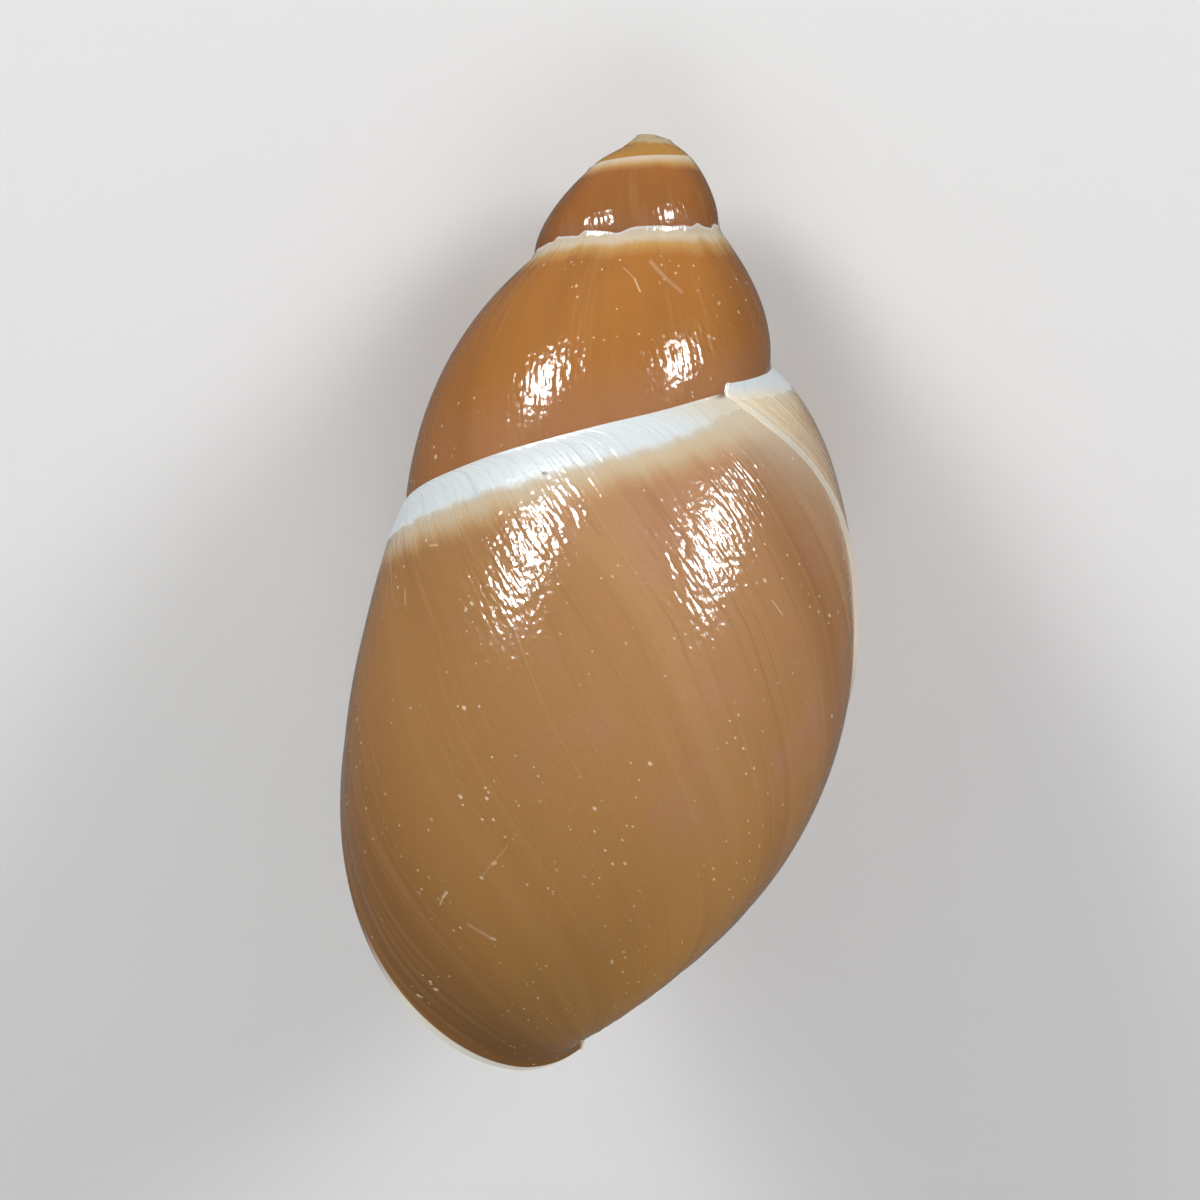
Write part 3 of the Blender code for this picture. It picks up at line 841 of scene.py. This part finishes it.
def old_lip_colours(recipe, look, colour, below, v, age, length):
    """Cream growth behind the earlier lip, its white edge, and painted shadow under its tongue where it
    leaves the seam.
    """
    lines = recipe.noise(recipe.vector(length * 3.5, v * 0.5, 4.0), 1.0, 2.0, 0.5)
    behind = age.ramp(OLD_LIP + 0.0015, OLD_LIP) * age.ramp(OLD_LIP - 0.1, OLD_LIP - 0.005)
    shade = recipe.mixed(from_srgb(*look.cream_edge), from_srgb(*look.pale_streak), lines.ramp(0.5, 0.7))
    colour = recipe.mixed(colour, shade, 0.9 * behind * v.ramp(1.15, 0.3) * below.ramp(0.3, 1.6))
    ahead = age.ramp(OLD_LIP + 0.11, OLD_LIP + 0.01) * age.ramp(OLD_LIP, OLD_LIP + 0.0015)
    colour = recipe.mixed(colour, from_srgb(*look.cream_band), 0.8 * ahead * v.ramp(1.0, 0.3))
    rim = age.ramp(OLD_LIP - 0.0015, OLD_LIP - 0.0006) * age.ramp(OLD_LIP + 0.0008, OLD_LIP + 0.0002)
    rim = rim * v.ramp(1.2, 1.0) * (0.5 + 0.5 * v.ramp(0.1, 0.5))
    colour = recipe.mixed(colour, from_srgb(*look.porcelain), rim)
    # Painted shadow: dark brown under the tongue of the earlier lip, where it leaves the seam.
    notch_shadow = age.ramp(OLD_LIP + 0.02, OLD_LIP + 0.006) * age.ramp(OLD_LIP, OLD_LIP + 0.0008)
    return recipe.mixed(colour, from_srgb(*look.lip_brown_and_notch_shadow), 0.9 * notch_shadow * below.ramp(0.7, 0.3))


def wrinkled(recipe, look, spot, length, below, v, age):
    """Normal of the polish: ridges and cells drawn out along the growth lines, deepest on the upper
    part of the back, a low unevenness all over, and fine grains."""
    back = around_axis(v, age).sine().ramp(-0.1, 0.5)
    rough = v.ramp(1.3, 0.7) * (0.75 + 0.25 * age.ramp(-1.2, -0.9)) * (0.3 + 0.7 * back) + 0.1
    ridges = recipe.noise(recipe.vector(length * 1.2, below * 0.08, 8.0), 1.0, 1.5, 0.5)
    cells = recipe.noise(recipe.vector(length * 3.1, below, 2.0), 1.0, 0.5, 0.5)
    peel = recipe.noise(spot, 2.6, 0.5, 0.5)
    grains = recipe.dots(length, below, 1.9, 0.09, 0.35)
    height = (0.075 * ridges + 0.06 * cells + 0.025 * peel) * rough + 0.02 * peel + 0.02 * grains
    inputs = {"Height": height * look.wrinkles, "Strength": 1.0, "Distance": MM}
    return recipe.node("Bump", None, inputs)


def skin_material(look, matrix):
    """Polished brown skin: growth streaks, chalky bands along the seams, wrinkles and pale pits."""
    recipe = Recipe(bpy.data.materials.new("polished_skin"))
    length, v = recipe.coordinates("growth")
    below, age = recipe.coordinates("band")
    spot = recipe.millimetres()
    cloud = recipe.noise(spot, 0.16, 3.0, 0.55)
    axis = matrix.inverted()[1]
    drop = -axis[3] - MM * recipe.vectors("DOT_PRODUCT", spot, axis[:3], output=1)

    colour = growth_colours(recipe, look, length, v, age, cloud)
    colour, chalk = seam_colours(recipe, look, colour, below, age, length)
    colour = old_lip_colours(recipe, look, colour, below, v, age, length)
    colour = recipe.mixed(colour, from_srgb(*look.ochre), age.ramp(-2.8, -3.0))
    worn = drop * (0.9 + 0.2 * recipe.noise(spot, 2.5, 2.0, 0.5))
    colour = recipe.mixed(colour, from_srgb(*look.tip), worn.ramp(TIP_DROP + 0.85, TIP_DROP + 0.55))
    lip_edge = (age + 0.002 * v.ramp(1.1, 1.6)).ramp(-0.0045, -0.003)
    colour = recipe.mixed(colour, from_srgb(*look.porcelain), lip_edge * v.ramp(1.35, 1.55))
    patchy = recipe.noise(spot, 0.22, 2.0, 0.5).ramp(0.45, 0.6)
    large = recipe.dots(length, below, 0.6, 0.2, 0.2)
    small = recipe.dots(length, below, 1.3, 0.13, 0.18)
    pits = large.most(small) * patchy * age.ramp(-2.0, -1.7)
    colour = recipe.mixed(colour, from_srgb(*look.pit), 0.85 * pits)
    on_skin = recipe.vector(length, below)
    scratches = scuffs(recipe, on_skin)
    colour = recipe.mixed(colour, from_srgb(*look.pit), 0.6 * scratches)
    speck = scuff(recipe, on_skin, SPECK, (SPECK[0] + SPECK_RADIUS, SPECK[1]), SPECK_RADIUS)
    colour = recipe.mixed(colour, from_srgb(*look.lip_brown_and_notch_shadow), 0.8 * speck)
    recipe.feed(recipe.surface.inputs["Base Color"], colour)
    recipe.feed(recipe.surface.inputs["Roughness"], 0.08 + 0.3 * chalk + 0.03 * cloud + 0.15 * scratches)
    recipe.feed(recipe.surface.inputs["Normal"], wrinkled(recipe, look, spot, length, below, v, age))
    recipe.surface.inputs["Specular IOR Level"].default_value = 0.4
    return recipe.owner


def lip_material(look):
    """Porcelain white lip, pillar and hollow."""
    recipe = Recipe(bpy.data.materials.new("porcelain_lip"))
    spot = recipe.millimetres()
    cloud = recipe.noise(spot, 0.3, 3.0, 0.5)
    colour = recipe.mixed(from_srgb(*look.porcelain), from_srgb(*look.cream_edge), cloud.ramp(0.4, 0.7))
    recipe.feed(recipe.surface.inputs["Base Color"], colour)
    recipe.surface.inputs["Roughness"].default_value = 0.28
    return recipe.owner


def colour_property(name, description, default):
    """Colour as a picture holds it, 0 to 255 in each part."""
    limits = {"size": 3, "min": 0, "max": 255}
    return bpy.props.IntVectorProperty(name=name, description=description, default=default, **limits)


def number_property(name, description, default, subtype="NONE"):
    """Number from 0 up."""
    settings = {"min": 0.0, "subtype": subtype}
    return bpy.props.FloatProperty(name=name, description=description, default=default, **settings)


class ShellLook(bpy.types.PropertyGroup):
    """Sizes in millimetres and colours of the shell."""

    wall: number_property("Wall", "Thickness of the outer wall", 0.9)
    lip_bead: number_property("Lip bead", "How far the rounded lip stands forward", 0.9)
    lip_flare: number_property("Lip flare", "How far the lip turns outwards", 0.25)
    lip_turn: number_property("Lip waist", "Depth of the waist behind the lip at the base", 0.32)
    seam_edge: number_property("Seam edge", "Step of each whorl over the one before", 0.2)
    old_lip_height: number_property("Old lip", "Step at the edge of the earlier lip", 0.3)
    dome: number_property("Dome", "How far the whorls below the tip bulge", 0.3)
    fold_height: number_property("Folds", "Height of the folds at the base", 0.06)
    wrinkles: number_property("Wrinkles", "Depth of the growth wrinkles, 1 as found", 1.0)
    upper_skin: colour_property("Upper skin", "Pinkish tan near the seam", (170, 128, 102))
    blush: colour_property("Blush", "Pinkish clouds of the back", (180, 132, 108))
    # Flank colour: partly the shell's own deeper brown, partly painted shade on the flanks.
    flank_brown_and_shade: colour_property("Sides", "Deeper brown of the flanks", (112, 66, 24))
    middle_skin: colour_property("Middle skin", "Tan of the widest line", (178, 131, 86))
    lower_skin: colour_property("Lower skin", "Golden brown at the base", (188, 136, 66))
    spire_skin: colour_property("Spire", "Orange brown of the whorl above", (168, 110, 50))
    older_skin: colour_property("Older spire", "Brown of the whorls above that", (164, 104, 50))
    olive_skin: colour_property("Olive growth", "Younger growth near the lip", (156, 112, 58))
    # Dark brown behind the lip and at the speck, also used as the painted shadow under the earlier lip's
    # tongue.
    lip_brown_and_notch_shadow: colour_property("Lip shade", "Dark brown just behind the lip", (108, 70, 32))
    dark_streak: colour_property("Dark streaks", "Darker growth streaks", (136, 90, 50))
    pale_streak: colour_property("Pale streaks", "Paler growth streaks", (200, 160, 112))
    straw_band: colour_property("Straw band", "Yellow tan below the chalky band", (205, 166, 104))
    cream_band: colour_property("Cream band", "Cream between chalk and straw", (200, 187, 163))
    chalk_band: colour_property("Chalky band", "Bluish white band along the seam", (208, 215, 217))
    chalk_vein: colour_property("Chalk veins", "Greyer streaks in the chalky band", (186, 194, 197))
    seam_bloom: colour_property("Seam bloom", "Pinkish white line along the older seams", (206, 190, 180))
    cream_edge: colour_property("Cream", "Cream growth behind the earlier lip", (224, 212, 184))
    ochre: colour_property("Ochre", "Whorls beside the tip", (168, 122, 56))
    tip: colour_property("Tip", "Worn pale tip", (174, 156, 124))
    pit: colour_property("Pits", "Pale specks in the polish", (226, 206, 172))
    porcelain: colour_property("Porcelain", "Lip, pillar and hollow", (236, 230, 216))


class StageLook(bpy.types.PropertyGroup):
    """Table and lights."""

    table_grey: number_property("Table", "Lightness of the table", 0.76)
    glint_watts: number_property("Glints", "Power of each lamp that only the polish shows", 14.0, "POWER")
    fill_watts: number_property("Low panel", "Power of the panel at the base", 0.35, "POWER")
    panel_watts: number_property("Side panels", "Power of the light panel on each side", 1.2, "POWER")
    sky: number_property("Surroundings", "Strength of the even light from above", 0.34)


def view_axes():
    """Right, down and forward of the camera in the shell's frame: the axis rolls in the picture and
    tips towards the camera, and the frame is turned over to have Y up the axis and Z out of the back."""
    flip = np.array([1.0, -1.0, -1.0])
    c, s = np.cos(AXIS_ROLL), np.sin(AXIS_ROLL)
    ct, st = np.cos(AXIS_TIP), np.sin(AXIS_TIP)
    right = np.array([c, -s * ct, -s * st]) * flip
    down = np.array([s, c * ct, c * st]) * flip
    forward = np.array([0.0, -st, ct]) * flip
    return right, down, forward


def view_point():
    """Where the camera stands in the shell's frame, in millimetres."""
    right, down, forward = view_axes()
    centre = np.array([0.0, -VIEW_CENTRE_DROP * PIXEL_MM, 0.0])
    aside = (IMAGE_SIDE / 2.0 - AXIS_IN_IMAGE[0]) * PIXEL_MM
    below = (IMAGE_SIDE / 2.0 - AXIS_IN_IMAGE[1]) * PIXEL_MM
    return centre + aside * right + below * down - LENS_PIXELS * PIXEL_MM * forward


def resting_shell(look):
    """Patches of the shell lying on the table, in metres, and the matrix that laid them there. The
    spot of the belly that would reach below the table is flattened to its height."""
    patches = shell_patches(look)
    matrix = resting_matrix(np.concatenate([patch.points.reshape(-1, 3) for patch in patches]))
    for patch in patches:
        patch.points = carried(patch.points, matrix)
        patch.points[..., 2] = np.maximum(patch.points[..., 2], 0.0)
    return patches, matrix


class SHELL_OT_grow(bpy.types.Operator):
    """Grows the shell and gives it its polish"""

    bl_idname = "shell.grow"
    bl_label = "Grow shell"

    def execute(self, context):
        look = context.scene.shell_look
        patches, matrix = resting_shell(look)
        mesh = mesh_of(patches, "snail_shell")
        weld(mesh)
        mesh.materials.append(skin_material(look, matrix))
        mesh.materials.append(lip_material(look))
        shell = bpy.data.objects.new("snail_shell", mesh)
        context.scene.collection.objects.link(shell)
        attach(shell, "root")
        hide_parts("shell")
        context.scene["shell_matrix"] = [value for row in matrix for value in row]
        return {"FINISHED"}


class SHELL_OT_stage(bpy.types.Operator):
    """Sets the table, the lamps and the camera"""

    bl_idname = "shell.stage"
    bl_label = "Set stage"

    def execute(self, context):
        scene = context.scene
        look = scene.stage_look
        matrix = Matrix(np.reshape(scene["shell_matrix"], (4, 4)).tolist())
        turn = matrix.to_3x3() * (1.0 / MM)
        axes = [turn @ Vector(axis) for axis in view_axes()]
        self.add_camera(scene, matrix @ Vector(view_point()), axes)
        for name, (toward, share) in SIDE_LAMPS.items():
            self.add_panel(scene, "panel_" + name, axes, toward, share * look.panel_watts)
            glint = self.add_lamp(scene, "glint_" + name, axes, toward, look.glint_watts, GLINT_SIZE)
            glint.visible_diffuse = False
        self.add_panel(scene, "panel_low", axes, LOW_LAMP, look.fill_watts)
        self.add_table(scene, look.table_grey)
        self.add_surroundings(scene, look.sky)
        return {"FINISHED"}

    def add_camera(self, scene, spot, axes):
        """Camera at a spot, with the view's axes right, down and forward."""
        right, down, forward = axes
        data = bpy.data.cameras.new("camera")
        data.sensor_width = SENSOR_MM
        data.lens = SENSOR_MM * LENS_PIXELS / IMAGE_SIDE
        data.clip_start = NEAREST_SEEN
        camera = bpy.data.objects.new("camera", data)
        turned = Matrix((right, -down, -forward)).transposed().to_4x4()
        camera.matrix_world = Matrix.Translation(spot) @ turned
        scene.collection.objects.link(camera)
        scene.camera = camera

    def add_lamp(self, scene, name, axes, toward, watts, size):
        """Oval lamp that shines on the shell from a direction given in the view's axes: right, up and
        towards the camera. Its height leans to the left of the view's own by the lamp tilt."""
        right, down, forward = axes
        direction = (toward[0] * right - toward[1] * down - toward[2] * forward).normalized()
        across = (-LAMP_TILT * right - down).cross(direction).normalized()
        data = bpy.data.lights.new(name, "AREA")
        data.shape = "ELLIPSE"
        data.size, data.size_y = size
        data.energy = watts
        lamp = bpy.data.objects.new(name, data)
        turned = Matrix((across, direction.cross(across), direction)).transposed().to_4x4()
        spot = Vector(SHELL_MIDDLE) + LAMP_DISTANCE * direction
        lamp.matrix_world = Matrix.Translation(spot) @ turned
        scene.collection.objects.link(lamp)
        return lamp

    def add_panel(self, scene, name, axes, toward, watts):
        """Soft lamp that the polish doesn't mirror."""
        panel = self.add_lamp(scene, name, axes, toward, watts, PANEL_SIZE)
        panel.visible_glossy = False

    def add_table(self, scene, grey):
        """Square table top under the shell, out of the polish's sight."""
        mesh = bpy.data.meshes.new("table")
        corners = [(TABLE_REACH * x, TABLE_REACH * y, 0.0) for x, y in ((-1, -1), (1, -1), (1, 1), (-1, 1))]
        mesh.from_pydata(corners, [], [(0, 1, 2, 3)])
        recipe = Recipe(bpy.data.materials.new("pale_table"))
        recipe.surface.inputs["Base Color"].default_value = (grey, grey, grey, 1.0)
        recipe.surface.inputs["Roughness"].default_value = TABLE_ROUGHNESS
        mesh.materials.append(recipe.owner)
        table = bpy.data.objects.new("table", mesh)
        table.visible_glossy = False
        scene.collection.objects.link(table)

    def add_surroundings(self, scene, strength):
        """Even white light, weaker from below, and plain colours in the picture."""
        world = bpy.data.worlds.new("soft_room")
        recipe = Recipe(world, "Background")
        height = recipe.parts(recipe.node("TexCoord"))[2]
        recipe.feed(recipe.surface.inputs["Strength"], strength * (0.5 + 0.5 * height.ramp(-0.5, 0.6)))
        recipe.surface.inputs["Color"].default_value = (1.0, 1.0, 1.0, 1.0)
        scene.world = world
        scene.view_settings.view_transform = "Standard"


class SHELL_PT_panel(bpy.types.Panel):
    """Lists the steps and what can be changed"""

    bl_label = "Land snail shell"
    bl_idname = "SHELL_PT_panel"
    bl_space_type = "VIEW_3D"
    bl_region_type = "UI"
    bl_category = "Shell"

    def draw(self, context):
        scene = context.scene
        for group, step in ((scene.shell_look, "shell.grow"), (scene.stage_look, "shell.stage")):
            box = self.layout.box()
            for name in group.__annotations__:
                box.prop(group, name)
            box.operator(step)


CLASSES = (ShellLook, StageLook, SHELL_OT_grow, SHELL_OT_stage, SHELL_PT_panel)


def register():
    """Makes the steps and their settings known."""
    for item in CLASSES:
        bpy.utils.register_class(item)
    bpy.types.Scene.shell_look = bpy.props.PointerProperty(type=ShellLook)
    bpy.types.Scene.stage_look = bpy.props.PointerProperty(type=StageLook)


def unregister():
    """Takes the steps and their settings away again."""
    del bpy.types.Scene.stage_look
    del bpy.types.Scene.shell_look
    for item in reversed(CLASSES):
        bpy.utils.unregister_class(item)


def main():
    """Grows the shell and sets the stage."""
    register()
    bpy.ops.shell.grow()
    bpy.ops.shell.stage()


if __name__ == "__main__":
    main()
